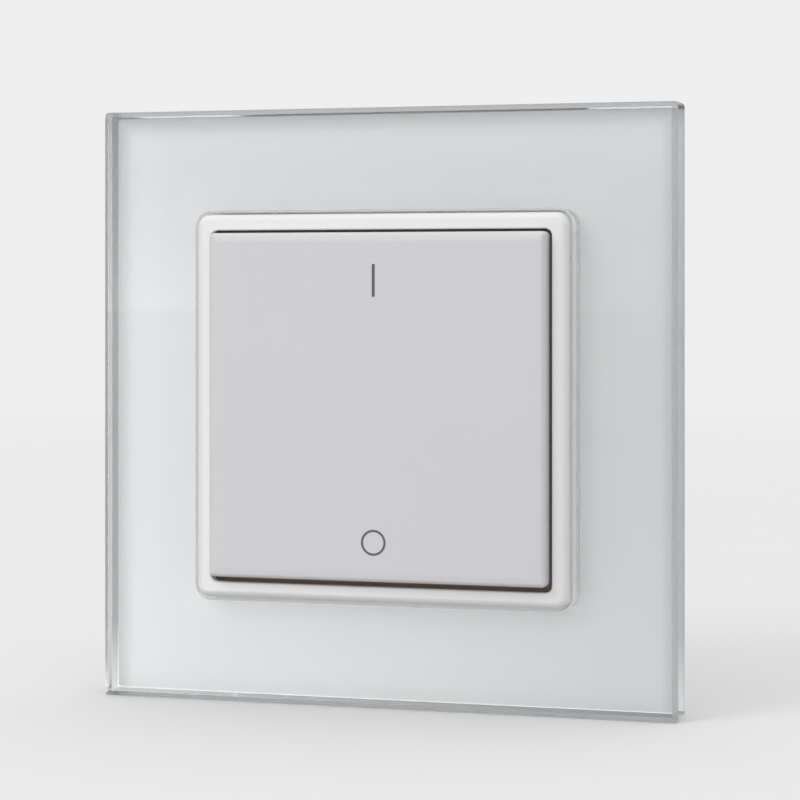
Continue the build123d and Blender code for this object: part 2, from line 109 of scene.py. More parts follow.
camera_data = bpy.data.cameras.new("camera")
camera_data.sensor_width = SENSOR_WIDTH
camera_data.lens = SENSOR_WIDTH * FOCAL_PIXELS / IMAGE_PIXELS
camera_data.shift_y = (HORIZON_PIXEL - IMAGE_PIXELS / 2) / IMAGE_PIXELS
camera = bpy.data.objects.new("camera", camera_data)
camera.location = camera_aim + CAMERA_DISTANCE * from_aim
camera.rotation_euler = (math.pi / 2, 0, CAMERA_TURN)
bpy.context.scene.collection.objects.link(camera)
bpy.context.scene.camera = camera
print("lens in mm:", round(camera_data.lens, 1), "shift:", round(camera_data.shift_y, 3))

# %% [markdown]
# ## A small language for finishes
#
# A finish here is a shader made of nodes. Writing each node and each link by hand is long and
# hides the idea, so two small classes do it. The first is `Link`, which is one output of a node.
# The signs + - * / on it add Math nodes, so shader maths reads like ordinary arithmetic. Its
# method `above` makes a mask, and many values below are a pair for it: a limit and its softness.

# %% Links
class Link:
    """One output of a node. Arithmetic on it adds Math nodes to its finish."""

    def __init__(self, finish, socket):
        self.finish = finish
        self.socket = socket

    def __add__(self, other):
        return self.finish.maths("ADD", self, other)

    def __radd__(self, other):
        return self.finish.maths("ADD", other, self)

    def __sub__(self, other):
        return self.finish.maths("SUBTRACT", self, other)

    def __rsub__(self, other):
        return self.finish.maths("SUBTRACT", other, self)

    def __mul__(self, other):
        return self.finish.maths("MULTIPLY", self, other)

    def __rmul__(self, other):
        return self.finish.maths("MULTIPLY", other, self)

    def __truediv__(self, other):
        return self.finish.maths("DIVIDE", self, other)

    def __rtruediv__(self, other):
        return self.finish.maths("DIVIDE", other, self)

    def __abs__(self):
        return self.finish.maths("ABSOLUTE", self)

    def above(self, limit, softness):
        """0 below the limit and 1 above it, over a ramp that is as wide as softness."""
        start = limit - softness / 2
        return self.finish.maths("MULTIPLY", self - start, 1 / softness, clamp=True)


# %% [markdown]
# The second is `Finish`, the nodes of one surface. Its method `add` adds any node, with its
# settings first and its sockets after. The others are short ways to say what most surfaces need:
# a place on the object, noise, a mix of two colours, a relief and the shader that ends it all.

# %% Finishes
class Finish:
    """The nodes of a new material, or of a world. Lengths in it are in metres."""

    def __init__(self, name, owner=None):
        self.material = owner or bpy.data.materials.new(name + "_finish")
        self.material.use_nodes = True
        self.tree = self.material.node_tree
        self.tree.nodes.clear()
        self.place = self.add("ShaderNodeTexCoord", output="Object")

    def add(self, kind, settings=None, sockets=None, output=0):
        """Adds a node: its settings are set first, then the values or links of its sockets."""
        node = self.tree.nodes.new(kind)
        for name, value in (settings or {}).items():
            setattr(node, name, value)
        for name, value in (sockets or {}).items():
            if isinstance(value, Link):
                self.tree.links.new(value.socket, node.inputs[name])
            else:
                node.inputs[name].default_value = value
        return Link(self, node.outputs[output]) if node.outputs else node

    def maths(self, operation, *values, clamp=False):
        """One Math node, for what the signs + - * / don't cover."""
        settings = {"operation": operation, "use_clamp": clamp}
        return self.add("ShaderNodeMath", settings, dict(enumerate(values)))

    def vectors(self, operation, *values, output=0):
        """One Vector Math node. A number that it gives, such as a length, is its output 1."""
        settings = {"operation": operation}
        return self.add("ShaderNodeVectorMath", settings, dict(enumerate(values)), output)

    def along(self, axis, vector=None):
        """One coordinate of a vector, and without one of the place on the object, in metres."""
        return self.add("ShaderNodeSeparateXYZ", sockets={0: vector or self.place}, output=axis)

    def grain(self, size, detail=2.0):
        """Noise from 0 to 1 whose lumps are about as wide as size."""
        sockets = {"Vector": self.place, "Scale": 1 / size, "Detail": detail}
        return self.add("ShaderNodeTexNoise", sockets=sockets)

    def mixed(self, factor, first, second):
        """One colour or the other, by a factor. A Mix node has its colours at 6, 7 and output 2."""
        settings = {"data_type": "RGBA"}
        return self.add("ShaderNodeMix", settings, {0: factor, 6: first, 7: second}, output=2)

    def bump(self, height, depth, **under):
        """A normal for a relief as deep as depth where height goes from 0 to 1."""
        sockets = {"Distance": depth, "Height": height, **under}
        return self.add("ShaderNodeBump", sockets=sockets)

    def shader(self, sockets):
        """The shader that most real surfaces need."""
        named = {name.replace("_", " "): value for name, value in sockets.items()}
        return self.add("ShaderNodeBsdfPrincipled", sockets=named)

    def surface(self, volume=None, over=None, **sockets):
        """Ends the finish. Over is a mask and the sockets of a second shader, which shows there."""
        ends = {"Surface": self.shader(sockets)}
        if over:
            mask, upper = over
            both = {0: mask, 1: ends["Surface"], 2: self.shader(upper)}
            ends["Surface"] = self.add("ShaderNodeMixShader", sockets=both)
        if volume:
            ends["Volume"] = self.add(volume[0], sockets=volume[1])
        self.add("ShaderNodeOutputMaterial", sockets=ends)


# %% [markdown]
# ## From a CAD mesh to a finished piece
#
# A CAD mesh has the right shape, but its edges are knife-sharp and its flat faces are cut into
# triangles. Real moulded and ground edges are slightly round, and that thin strip of light along
# them is what tells the eye that a thing is solid. A bevel modifier would catch on the triangles,
# so each piece starts as a copy of its node's mesh: the corners are welded, the flat faces are
# joined again, and only then are the sharp edges rounded.

# %% Softened copies of CAD nodes
SHARP = math.radians(32)
SAME_PLANE = math.radians(0.4)
SAME_PLACE = 0.001 * MM
FULL_WEIGHT = 100
record = frame["record"]
bodies = record["behaviour"]["bodies"]
node_body = {node: body for body, nodes in bodies.items() for node in nodes}
node_slot = {part["node"]: part["material_slot"] for part in record["subparts"]}
finishes = {}


def cad_copy(node):
    """The mesh of a CAD node with its corners welded and its flat faces whole again."""
    bm = bmesh.new()
    bm.from_mesh(frame["nodes"][node].data)
    bmesh.ops.remove_doubles(bm, verts=bm.verts, dist=SAME_PLACE)
    bmesh.ops.dissolve_limit(bm, angle_limit=SAME_PLANE, verts=bm.verts, edges=bm.edges)
    return bm


def round_edges(bm, width, strips=2):
    """Rounds every sharp edge over a strip of this width."""
    sharp = [e for e in bm.edges if e.is_manifold and e.calc_face_angle() > SHARP]
    settings = {"offset": width, "segments": strips, "profile": 0.5, "affect": "EDGES"}
    bmesh.ops.bevel(bm, geom=sharp, clamp_overlap=True, **settings)
    return len(sharp)


def flatten_large_faces(piece):
    """Lets large faces set the normals along their edges, so that a flat face mirrors as flat."""
    weighted = piece.modifiers.new("weighted", "WEIGHTED_NORMAL")
    weighted.weight = FULL_WEIGHT
    weighted.keep_sharp = True
    bpy.context.view_layer.update()
    evaluated = piece.evaluated_get(bpy.context.evaluated_depsgraph_get())
    mesh = bpy.data.meshes.new_from_object(evaluated)
    piece.modifiers.clear()
    piece.data = mesh


def make_piece(bm, name, slot, body, bend=None):
    """Turns a mesh into a piece with its finish. Its body carries it, unless a bend is given: then
    its place is baked into its mesh, and what the bend holds is not used."""
    mesh = bpy.data.meshes.new(name)
    bmesh.ops.recalc_face_normals(bm, faces=bm.faces)
    bm.to_mesh(mesh)
    bm.free()
    mesh.shade_smooth()
    mesh.set_sharp_from_angle(angle=SHARP)
    mesh.materials.append(finishes[slot].material)
    piece = bpy.data.objects.new(name, mesh)
    bpy.context.scene.collection.objects.link(piece)
    flatten_large_faces(piece)
    if bend:
        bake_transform(piece)
    else:
        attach(piece, body)
    return piece


def soften(node, width, strips=2, shape=None, name=None, bend=None):
    """A finished piece from a CAD node, whose place it takes. Shape may change its mesh first."""
    bm = cad_copy(node)
    if shape:
        shape(bm)
    edges = round_edges(bm, width, strips)
    name = name or node + "_finished"
    piece = make_piece(bm, name, node_slot[node], node_body[node], bend)
    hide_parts(node)
    print(name, "edges rounded:", edges, "faces:", len(piece.data.polygons))
    return piece


# %% [markdown]
# ## The glass and the print behind it
#
# The frame is 6 mm of clear float glass with a ground bevel along every edge, and it looks white
# because white enamel is printed on its back. Painting the front white would lose what the
# photograph shows: bright and dark lines along the edges, and a strip beside the bezel where the
# wall of the opening acts as a mirror. Real refraction gives all of that, so the glass is a closed
# mesh with a glass shader and a faint green absorption.
#
# Its flat faces and walls are polished. The slanted arrises along its edges were only ground, so
# they are partly frosted: more at the opening, less at the rim. At the rim they are also painted
# darker, as painted shade. The slant of a face, which is 0 on a wall and 1 on the front, tells
# which faces these are.

# %% Clear glass
NOT_A_WALL = (0.2, 0.1)
A_FRONT = (0.93, 0.05)
OUTER_EDGE_FROM = (36 * MM, 1 * MM)
GROUND_ROUGHNESS = 0.03
GROUND_UNEVEN = 0.04
FROST_AT_OPENING = 0.7
FROST_LOST_AT_RIM = 0.4
GREEN_TINT = {"Color": (0.86, 0.94, 0.94, 1), "Density": 10.0}

glass = Finish("clear_glass")
haze = glass.grain(0.15 * MM)
facing = glass.add("ShaderNodeTexCoord", output="Normal")
slant = abs(glass.along(1, facing))
ground = slant.above(*NOT_A_WALL) * (1 - slant.above(*A_FRONT))
from_middle = glass.maths("MAXIMUM", abs(glass.along(0)), abs(glass.along(2)))
outer_edge = from_middle.above(*OUTER_EDGE_FROM)
# At the rim's arrises the darker Base Color is painted shade; their roughness is the real grind.
rim_grind_and_painted_shade = ground * outer_edge
# The frost is darker at the rim: painted shade.
frost_and_painted_rim_shade = {
    "Base_Color": glass.mixed(outer_edge, (0.78, 0.80, 0.81, 1), (0.56, 0.59, 0.61, 1)),
    "Roughness": 0.6,
}
glass.surface(
    volume=("ShaderNodeVolumeAbsorption", GREEN_TINT),
    Base_Color=glass.mixed(rim_grind_and_painted_shade, (1.0, 1.0, 1.0, 1), (0.50, 0.52, 0.54, 1)),
    Roughness=rim_grind_and_painted_shade * (haze * GROUND_UNEVEN + GROUND_ROUGHNESS),
    IOR=1.52,
    Transmission_Weight=1.0,
    over=(ground * (FROST_AT_OPENING - outer_edge * FROST_LOST_AT_RIM), frost_and_painted_rim_shade),
)
finishes["clear_glass"] = glass
soften("glass_panel", 0.02 * MM, strips=1)

# %% [markdown]
# The print touches the glass with no air between, and a render needs that too: two faces in the
# same plane would fight. So the front of the print is moved a fiftieth of a millimetre into the
# glass, where light inside the glass meets it first. It is matt, because a gloss under glass has
# no air to shine against.
#
# In real glass, light escapes at the sides and the top and gathers near the opening. A render
# that ends its light paths early leaves most of that out, so painted shade makes the print greyer
# near the sides and the top, and painted light makes it a little lighter near the opening.

# %% White enamel
PRINT_SINK = 0.02 * MM
PRINT_OVERLAP = 0.9 * MM
OPENING_REACH = 30 * MM
IN_PLANE = 0.01 * MM
RIM_BAND = 3.2 * MM
LIGHT_BAND_END = (31.5 * MM, 3.5 * MM)

enamel = Finish("white_enamel")
cloud = enamel.grain(9 * MM) * 0.7 + enamel.grain(0.25 * MM) * 0.3
outward = enamel.maths("MAXIMUM", abs(enamel.along(0)), abs(enamel.along(2)))
to_rim = enamel.maths("MAXIMUM", abs(enamel.along(0)), enamel.along(2))
# Painted shade: the print is greyer along the sides and the top.
rim = to_rim.above(glass_high.x - RIM_BAND / 2, RIM_BAND)
# Painted light: the print is a little lighter near the opening.
opening_painted_light = 1 - outward.above(*LIGHT_BAND_END)
plain = enamel.mixed(cloud, (0.935, 0.935, 0.95, 1), (0.95, 0.95, 0.96, 1))
plain = enamel.mixed(opening_painted_light, plain, (0.99, 0.99, 1.0, 1))
enamel.surface(
    Base_Color=enamel.mixed(rim, plain, (0.70, 0.715, 0.735, 1)),
    Roughness=0.5 + cloud * 0.1,
    Specular_IOR_Level=0.0,
)
finishes["white_enamel"] = enamel


def sink_into_glass(bm):
    """Moves the front of the print into the glass, and its inner edge under the bezel."""
    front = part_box("enamel_layer")[0].y
    for vert in bm.verts:
        if abs(vert.co.y - front) < IN_PLANE:
            vert.co.y -= PRINT_SINK
        if max(abs(vert.co.x), abs(vert.co.z)) < OPENING_REACH:
            vert.co.x -= math.copysign(PRINT_OVERLAP, vert.co.x)
            vert.co.z -= math.copysign(PRINT_OVERLAP, vert.co.z)


soften("enamel_layer", 0.01 * MM, strips=1, shape=sink_into_glass)

# %% [markdown]
# ## Moulded plastic
#
# Nearly everything else is plastic from a mould. It differs in gloss and in grain: the bezel's
# mould is polished, the key's is spark-eroded to a fine matt grain, and hidden parts are plain.
# One function makes them all from noise of two sizes: a slow change of tone and gloss, and the
# grain, which is a relief as well. The plastic inside is browner, most of all the cover of the
# module, which is dark brown: this is painted shade, so that the gap round the key shows as a
# dark brown line.

# %% Plastic finishes
SLOW_CHANGE = 14 * MM


def moulded(slot, colour, roughness, grain_size, grain_depth, tone=0.02, gloss=0.06, **sockets):
    """A moulded plastic. Tone and gloss are how much its colour and roughness change."""
    finish = Finish(slot)
    slow = finish.grain(SLOW_CHANGE, detail=3)
    fine = finish.grain(grain_size, detail=3)
    dark = tuple(channel * (1 - tone) for channel in colour)
    light = tuple(min(1, channel * (1 + tone)) for channel in colour)
    finish.surface(
        Base_Color=finish.mixed(slow * 0.6 + fine * 0.4, (*dark, 1), (*light, 1)),
        Roughness=(slow * 0.5 + fine * 0.5) * gloss + (roughness - gloss / 2),
        Normal=finish.bump(fine, grain_depth),
        **sockets,
    )
    finishes[slot] = finish


moulded("bezel_plastic", (0.81, 0.81, 0.815), 0.16, 0.8 * MM, 0.0006 * MM, tone=0.006, gloss=0.03)
moulded("key_plastic", (0.66, 0.66, 0.675), 0.52, 0.16 * MM, 0.006 * MM, tone=0.03)
moulded("carrier_plastic", (0.76, 0.76, 0.75), 0.45, 0.2 * MM, 0.004 * MM)
moulded("plate_plastic", (0.74, 0.74, 0.73), 0.48, 0.22 * MM, 0.005 * MM)
moulded("module_plastic", (0.62, 0.58, 0.55), 0.42, 0.18 * MM, 0.004 * MM)
# Painted shade: the dark brown cover makes the gap round the key look deep and shaded.
moulded("module_cover", (0.40, 0.27, 0.19), 0.42, 0.18 * MM, 0.004 * MM)
# Painted shade: the cradle is browner for the same gap.
moulded("cradle_plastic", (0.58, 0.47, 0.40), 0.38, 0.15 * MM, 0.002 * MM)
moulded("plunger_plastic", (0.62, 0.62, 0.61), 0.32, 0.15 * MM, 0.001 * MM)
moulded("silicone", (0.60, 0.60, 0.58), 0.55, 0.12 * MM, 0.002 * MM, Subsurface_Weight=0.1)
moulded("carbon_rubber", (0.025, 0.025, 0.027), 0.65, 0.08 * MM, 0.004 * MM, tone=0.3)
moulded("foam_tape", (0.70, 0.70, 0.68), 0.85, 0.12 * MM, 0.03 * MM, tone=0.06)
moulded("chip_resin", (0.025, 0.025, 0.028), 0.5, 0.06 * MM, 0.004 * MM, tone=0.2)
print("finishes with the plastics:", len(finishes))

# %% [markdown]
# ## Metal, board and ceramic
#
# The inside parts are small but each has its own look. Metal gets its brushing from noise that is
# stretched one way. The coin cell also has a groove near its rim and a plus sign, which are
# pressed in: there the metal is duller, and painted darker as shade in the hollow.

# %% Metal finishes
LINE_GLOSS = 0.16
DARK_LINE = 0.86
MARK_PAINTED_SHADE = 0.6
DULLER_MARK = 0.3
PRESSED_DEPTH = 0.1 * MM


def brushed(slot, colour, roughness, stretch, depth, pressed=None):
    """A metal with fine lines. Stretch is how many times each axis is squeezed, and pressed
    gives a mask that is 0 where a mark is pressed in."""
    finish = Finish(slot)
    scaled = finish.add("ShaderNodeMapping", sockets={"Vector": finish.place, "Scale": stretch})
    sockets = {"Vector": scaled, "Scale": 1 / MM, "Detail": 3.0}
    lines = finish.add("ShaderNodeTexNoise", sockets=sockets)
    relief = finish.bump(lines, depth)
    gloss = lines * LINE_GLOSS + (roughness - LINE_GLOSS / 2)
    darkest = DARK_LINE
    if pressed:
        raised = pressed(finish)
        relief = finish.bump(raised, PRESSED_DEPTH, Normal=relief)
        gloss = gloss + (1 - raised) * DULLER_MARK
        lines = lines * raised
        # Painted shade: pressed marks are darker.
        darkest = MARK_PAINTED_SHADE
    dark = tuple(channel * darkest for channel in colour)
    finish.surface(
        Base_Color=finish.mixed(lines, (*dark, 1), (*colour, 1)),
        Metallic=1.0,
        Roughness=gloss,
        Normal=relief,
    )
    finishes[slot] = finish


brushed("screw_steel", (0.62, 0.62, 0.64), 0.34, (6, 6, 6), 0.003 * MM)
brushed("nickel", (0.66, 0.63, 0.58), 0.28, (1, 8, 8), 0.002 * MM)
brushed("gold_plate", (0.83, 0.62, 0.25), 0.24, (5, 5, 5), 0.001 * MM)

# %% Coin cell
GROOVE_RADIUS = 10.6 * MM
PLUS_HEIGHT = 5.5 * MM
PLUS_ARM = 1.6 * MM
HALF_GROOVE = 0.2 * MM
HALF_STROKE = 0.3 * MM
PRESSED_SLOPE = 0.15 * MM


def cell_face(finish):
    """The groove near the rim of a coin cell and the plus sign on its positive side."""
    across, up = abs(finish.along(0)), finish.along(2)
    from_plus = abs(up - PLUS_HEIGHT)
    from_centre = finish.maths("SQRT", across * across + up * up)
    groove = abs(from_centre - GROOVE_RADIUS).above(HALF_GROOVE, PRESSED_SLOPE)
    long_way = finish.maths("MAXIMUM", across, from_plus).above(PLUS_ARM, PRESSED_SLOPE)
    short_way = finish.maths("MINIMUM", across, from_plus).above(HALF_STROKE, PRESSED_SLOPE)
    return groove * finish.maths("MAXIMUM", long_way, short_way)


brushed("cell_steel", (0.70, 0.70, 0.71), 0.26, (0.4, 6, 9), 0.002 * MM, pressed=cell_face)
print("finishes with the metals:", len(finishes))

# %% [markdown]
# The board gets its copper tracks from waves that run along one axis in some regions and along the
# other in the rest, under green lacquer. The small ceramic and resin parts have tinned ends, which
# are found by their distance from the middle of the part.

# %% Board finish
TRACK_PITCH = {0: 1.9 * MM, 2: 2.7 * MM}
TRACK_WANDER = 1.2
TRACK_FROM = (0.72, 0.12)
REGION_FROM = (0.5, 0.02)

board = Finish("board_laminate")
tracks = []
for axis, pitch in TRACK_PITCH.items():
    wander = board.grain(6 * MM) * TRACK_WANDER
    wave = board.maths("SINE", board.along(axis) * (2 * math.pi / pitch) + wander)
    tracks.append(wave.above(*TRACK_FROM))
region = board.grain(7 * MM).above(*REGION_FROM)
copper = tracks[0] * region + tracks[1] * (1 - region)
board.surface(
    Base_Color=board.mixed(copper, (0.012, 0.10, 0.045, 1), (0.03, 0.20, 0.08, 1)),
    Roughness=0.28 + board.grain(0.3 * MM) * 0.12,
    Normal=board.bump(copper, 0.03 * MM),
)
finishes["board_laminate"] = board

# %% Ceramic and resin parts with tinned ends
END_EDGE = 0.05 * MM
SPECK_SIZE = 0.1 * MM
PALE_SPECK = 1.15


def with_ends(slot, body_colour, half_length, centre=0.0):
    """A small part with tinned ends, which lie beyond half_length from its centre along X."""
    finish = Finish(slot)
    ends = abs(abs(finish.along(0)) - centre).above(half_length, END_EDGE)
    speck = finish.grain(SPECK_SIZE)
    pale = tuple(channel * PALE_SPECK for channel in body_colour)
    body = finish.mixed(speck, (*body_colour, 1), (*pale, 1))
    finish.surface(
        Base_Color=finish.mixed(ends, body, (0.66, 0.66, 0.65, 1)),
        Metallic=ends,
        Roughness=0.42 - ends * 0.1 + speck * 0.08,
        Normal=finish.bump(speck + ends * 0.5, 0.01 * MM),
    )
    finishes[slot] = finish


chip_low, chip_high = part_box("radio_chip")
column = (abs(chip_low.x) + abs(chip_high.x)) / 2
with_ends("antenna_ceramic", (0.62, 0.66, 0.70), 3.2 * MM)
with_ends("capacitor_ceramic", (0.30, 0.20, 0.11), 0.6 * MM, centre=column)
with_ends("bulk_resin", (0.62, 0.36, 0.05), 2.3 * MM)
print("finishes in all:", len(finishes))

# %% [markdown]
# ## The bezel and the key
#
# The bezel keeps its CAD shape, and only its edges are rounded, more than elsewhere, because its
# gloss turns every edge into a line of light. The key's front is not quite flat: the mould lets
# its edges fall away over the last millimetre and a half, and the top edge more than the others.
# The photograph shows that as soft bands along the edges, the palest at the top. So the front face
# of the key is divided into rings, and the outer ones drop.

# %% Bezel
soften("bezel", 0.12 * MM, strips=3)

# %% Rocker key
EDGE_DROP = 0.12 * MM
TOP_DROP = 0.16 * MM
EDGE_BAND = 1.5 * MM
FACE_SINK = 0.02 * MM
FACE_DEPTH = 0.8 * MM
RINGS = [step * MM for step in (0.2, 0.4, 0.6, 0.8, 1.0, 1.2, 1.5)]
NORMALS = {0: Vector((1, 0, 0)), 2: Vector((0, 0, 1))}
key_low, key_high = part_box("rocker_key")


def fall(distance):
    """1 at an edge and 0 from the width of the band inwards, with a smooth run between."""
    share = min(1, max(0, distance / EDGE_BAND))
    return 1 - share * share * (3 - 2 * share)


def cut_front(bm, axis, place):
    """Cuts the faces that lie in the plane of the key's front along one line."""
    faces = [f for f in bm.faces if abs(f.calc_center_median().y - key_low.y) < IN_PLANE]
    edges = {e for f in faces for e in f.edges}
    verts = {v for f in faces for v in f.verts}
    geometry = faces + list(edges) + list(verts)
    normal = NORMALS[axis]
    bmesh.ops.bisect_plane(bm, geom=geometry, plane_co=normal * place, plane_no=normal)


def pillow(bm):
    """Divides the front face into rings and lets the edges of the key fall away."""
    for axis in NORMALS:
        for ring in RINGS:
            cut_front(bm, axis, key_low[axis] + ring)
            cut_front(bm, axis, key_high[axis] - ring)
    for vert in bm.verts:
        if vert.co.y < key_low.y + FACE_DEPTH:
            x, z = vert.co.x, vert.co.z
            from_top = key_high.z - z
            from_edge = min(x - key_low.x, key_high.x - x, z - key_low.z, from_top)
            vert.co.y += FACE_SINK + EDGE_DROP * fall(from_edge) + TOP_DROP * fall(from_top)


soften("rocker_key", 0.08 * MM, shape=pillow)

# %% [markdown]
# The on and off marks are printed in grey ink: a bar at the top and a ring at the bottom. They
# could be painted by the key's shader, but a baked picture of such thin lines would be blurred, so
# each is a skin of ink a few hundredths of a millimetre thick.

# %% Ink marks
INK_THICKNESS = 0.02 * MM
BAR_HALF_WIDTH = 0.22 * MM
BAR_HALF_HEIGHT = 2.33 * MM
BAR_CORNER = 0.1 * MM
BAR_CENTRE = 18.2 * MM
RING_RADII = (1.84 * MM, 1.51 * MM)
RING_CENTRE = -18.95 * MM
RING_STEPS = 24

ink = Finish("key_ink")
speckle = ink.grain(0.05 * MM)
ink.surface(
    Base_Color=ink.mixed(speckle, (0.085, 0.085, 0.095, 1), (0.11, 0.11, 0.12, 1)),
    Roughness=0.45 + speckle * 0.1,
    Normal=ink.bump(speckle, 0.002 * MM),
)


def outline(half_width, half_height, radius, steps=10):
    """Points round a rectangle with round corners, about its own middle."""
    points = []
    for n in range(4 * steps):
        turn = 2 * math.pi * (n + 0.5) / (4 * steps)
        x, z = math.cos(turn), math.sin(turn)
        points.append((math.copysign(half_width - radius, x) + radius * x,
                       math.copysign(half_height - radius, z) + radius * z))
    return points


def ink_mark(name, centre, outer, inner=None):
    """A skin of ink on the key, with a hole where inner is given."""
    back = key_low.y + FACE_SINK
    front = back - INK_THICKNESS
    loops = [(outer, back), (outer, front)]
    if inner:
        loops += [(inner, front), (inner, back)]
    bm = bmesh.new()
    rows = [[bm.verts.new((x, y, z + centre)) for x, z in points] for points, y in loops]
    if inner:
        rows.append(rows[0])
    for first, second in zip(rows, rows[1:]):
        for n in range(len(first)):
            after = (n + 1) % len(first)
            bm.faces.new((first[n], first[after], second[after], second[n]))
    if not inner:
        bm.faces.new(rows[0])
        bm.faces.new(rows[-1])
    piece = make_piece(bm, name, "key_plastic", "rocker")
    piece.data.materials.clear()
    piece.data.materials.append(ink.material)
    print(name, "faces:", len(piece.data.polygons))


ink_mark("on_mark", BAR_CENTRE, outline(BAR_HALF_WIDTH, BAR_HALF_HEIGHT, BAR_CORNER))
ink_mark("off_mark", RING_CENTRE, *(outline(r, r, r, steps=RING_STEPS) for r in RING_RADII))

# %% [markdown]
# ## The back and the inside
#
# From behind, the object shows its wall plate with four foam pads, the radio module in the plate's
# window, four screws and the coin cell in its well. These parts and the hidden ones keep their CAD
# shape with rounded edges. The width of the rounding follows what each part is made of: stamped
# metal and chips are crisp, mouldings are softer, foam and silicone softer still.

# %% Every other node
EDGE_WIDTHS_MM = {
    "carrier_tape": 0.05, "glass_carrier": 0.15, "wall_plate": 0.15, "adhesive_pads": 0.1,
    "module_base": 0.12, "module_cover": 0.1, "housing_screws": 0.06, "circuit_board": 0.03,
    "contact_pads": 0.01, "upper_plungers": 0.08, "lower_plungers": 0.08,
    "upper_pills": 0.04, "lower_pills": 0.04, "rocker_cradle": 0.1, "radio_chip": 0.04,
    "crystal": 0.08, "chip_antenna": 0.04, "capacitors": 0.05, "bulk_capacitor": 0.06,
    "coin_cell": 0.06, "positive_contact": 0.05, "negative_contact": 0.05,
}
softened = {node: soften(node, width * MM) for node, width in EDGE_WIDTHS_MM.items()}
# The module cover gets its dark brown painted-shade finish.
softened["module_cover"].data.materials[0] = finishes["module_cover"].material

# %% [markdown]
# The silicone mat lies on the board, and the roofs of its domes move with the plungers, the upper
# ones inwards while the lower ones come out. So the mat is built as two halves, an upper and a
# lower one.

# %% Dome mat
MAT_THICKNESS = 0.4 * MM
ROOF_INSIDE = 0.85 * MM
MAT_EDGE = 0.08 * MM
mat_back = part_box("dome_mat")[1].y
foot = (0, mat_back - MAT_THICKNESS, 0)
roof = (0, mat_back - ROOF_INSIDE, 0)


def half(up):
    """A change that keeps the half of a mesh towards up, which is 1 or -1, and closes the cut."""

    def keep_half(bm):
        geometry = bm.verts[:] + bm.edges[:] + bm.faces[:]
        plane = {"plane_co": (0, 0, 0), "plane_no": (0, 0, up)}
        cut = bmesh.ops.bisect_plane(bm, geom=geometry, clear_inner=True, **plane)
        edges = [part for part in cut["geom_cut"] if isinstance(part, bmesh.types.BMEdge)]
        bmesh.ops.edgeloop_fill(bm, edges=edges)

    return keep_half


for side, up in (("upper", 1), ("lower", -1)):
    bend = (side + "_contact", foot, roof)
    soften("dome_mat", MAT_EDGE, shape=half(up), name=side + "_domes", bend=bend)

# %% [markdown]
# ## Floor and light
#
# The object stands on a plain pale floor that fades into a pale world. The world is the light too,
# as in a studio tent: brighter from above, and a little from the right, to fill the lamp's shadow.
# A gloss and the glass see both as white in front of the object and as darker behind it, so the
# first helper below tells these rays apart.
#
# The photograph also has a bright card at the left, which shows as a veil on the glossy front of
# the glass: strong on the left, gone on the right and weaker at the top. Only a gloss sees it
# here, so it adds a reflection and no second shadow. The second helper draws it by the direction
# in which a ray leaves: brightest near the card's left edge and fading rightwards.

# %% Who looks, and the card
CARD_TURN = math.radians(-28)
CARD_WIDTH = 0.285
CARD_EDGE = (0.0, 0.12)
CARD_IN_FRONT = (0.6, 0.2)
CARD_LEVEL = 4.3


def lookers(finish):
    """Three masks: 1 where the camera looks, where a gloss mirrors, where clear glass looks."""
    camera_ray, glossy_ray, clear_ray = (
        finish.add("ShaderNodeLightPath", output="Is " + kind + " Ray")
        for kind in ("Camera", "Glossy", "Transmission"))
    return camera_ray, glossy_ray * (1 - clear_ray), clear_ray


def card(finish, way):
    """The brightness of the card in the direction of way, whose height doesn't matter."""
    level = finish.vectors("NORMALIZE", finish.vectors("MULTIPLY", way, (1, 1, 0)))
    card_edge = (math.cos(CARD_TURN), math.sin(CARD_TURN), 0)
    aside = finish.vectors("DOT_PRODUCT", level, card_edge, output=1)
    fade = finish.maths("MAXIMUM", 1 - aside * aside * (1 / CARD_WIDTH ** 2), 0.0)
    in_front = (0 - finish.along(1, level)).above(*CARD_IN_FRONT)
    return fade * aside.above(*CARD_EDGE) * in_front * CARD_LEVEL


# %% [markdown]
# For the camera the floor keeps the object's shadow. It looks paler to the camera than it is for
# the light that it sends back to the object, and far out it turns into the colour of the world. A
# gloss sees it glow with a painted reflection of the card, only where it is seen at a flat angle,
# as a satin floor would show it.

# %% Floor
PALE = 0.86
BEHIND = 0.28
FLOOR_RADIUS = 6.0
FLOOR_SEGMENTS = 96
FLOOR_GAP = 0.02 * MM
FLOOR_GRAIN = 0.03
FLOOR_UNEVEN = 0.01
FLOOR_TONE = 0.42
FLOOR_PALER = 0.28
FLOOR_MIRRORED = 0.8
FLOOR_FADE = (0.575, 0.85)
FROM_BEHIND = (0.04, 0.08)
FLAT_ANGLE = (0.6, 0.4)
PAINTED_REFLECTION_SHARE = 0.85
CARD_TIP = (0.10, 0.30, 0)

floor_bm = bmesh.new()
bmesh.ops.create_circle(floor_bm, cap_ends=True, segments=FLOOR_SEGMENTS, radius=FLOOR_RADIUS)
floor_mesh = bpy.data.meshes.new("floor")
floor_bm.to_mesh(floor_mesh)
floor_bm.free()
floor = bpy.data.objects.new("floor", floor_mesh)
floor.location.z = cad_box[0].z - FLOOR_GAP
bpy.context.scene.collection.objects.link(floor)

paint = Finish("floor_paint")
camera_looks, gloss_looks, glass_looks = lookers(paint)
shade = paint.grain(FLOOR_GRAIN) * FLOOR_UNEVEN + camera_looks * FLOOR_PALER + FLOOR_TONE
colour = paint.add("ShaderNodeCombineColor", sockets={0: shade, 1: shade, 2: shade})
matt = paint.add("ShaderNodeBsdfDiffuse", sockets={"Color": colour})
behind = paint.along(1).above(*FROM_BEHIND) * (1 - BEHIND)
flat_look = paint.add("ShaderNodeLayerWeight", sockets={"Blend": 0.5}, output="Facing")
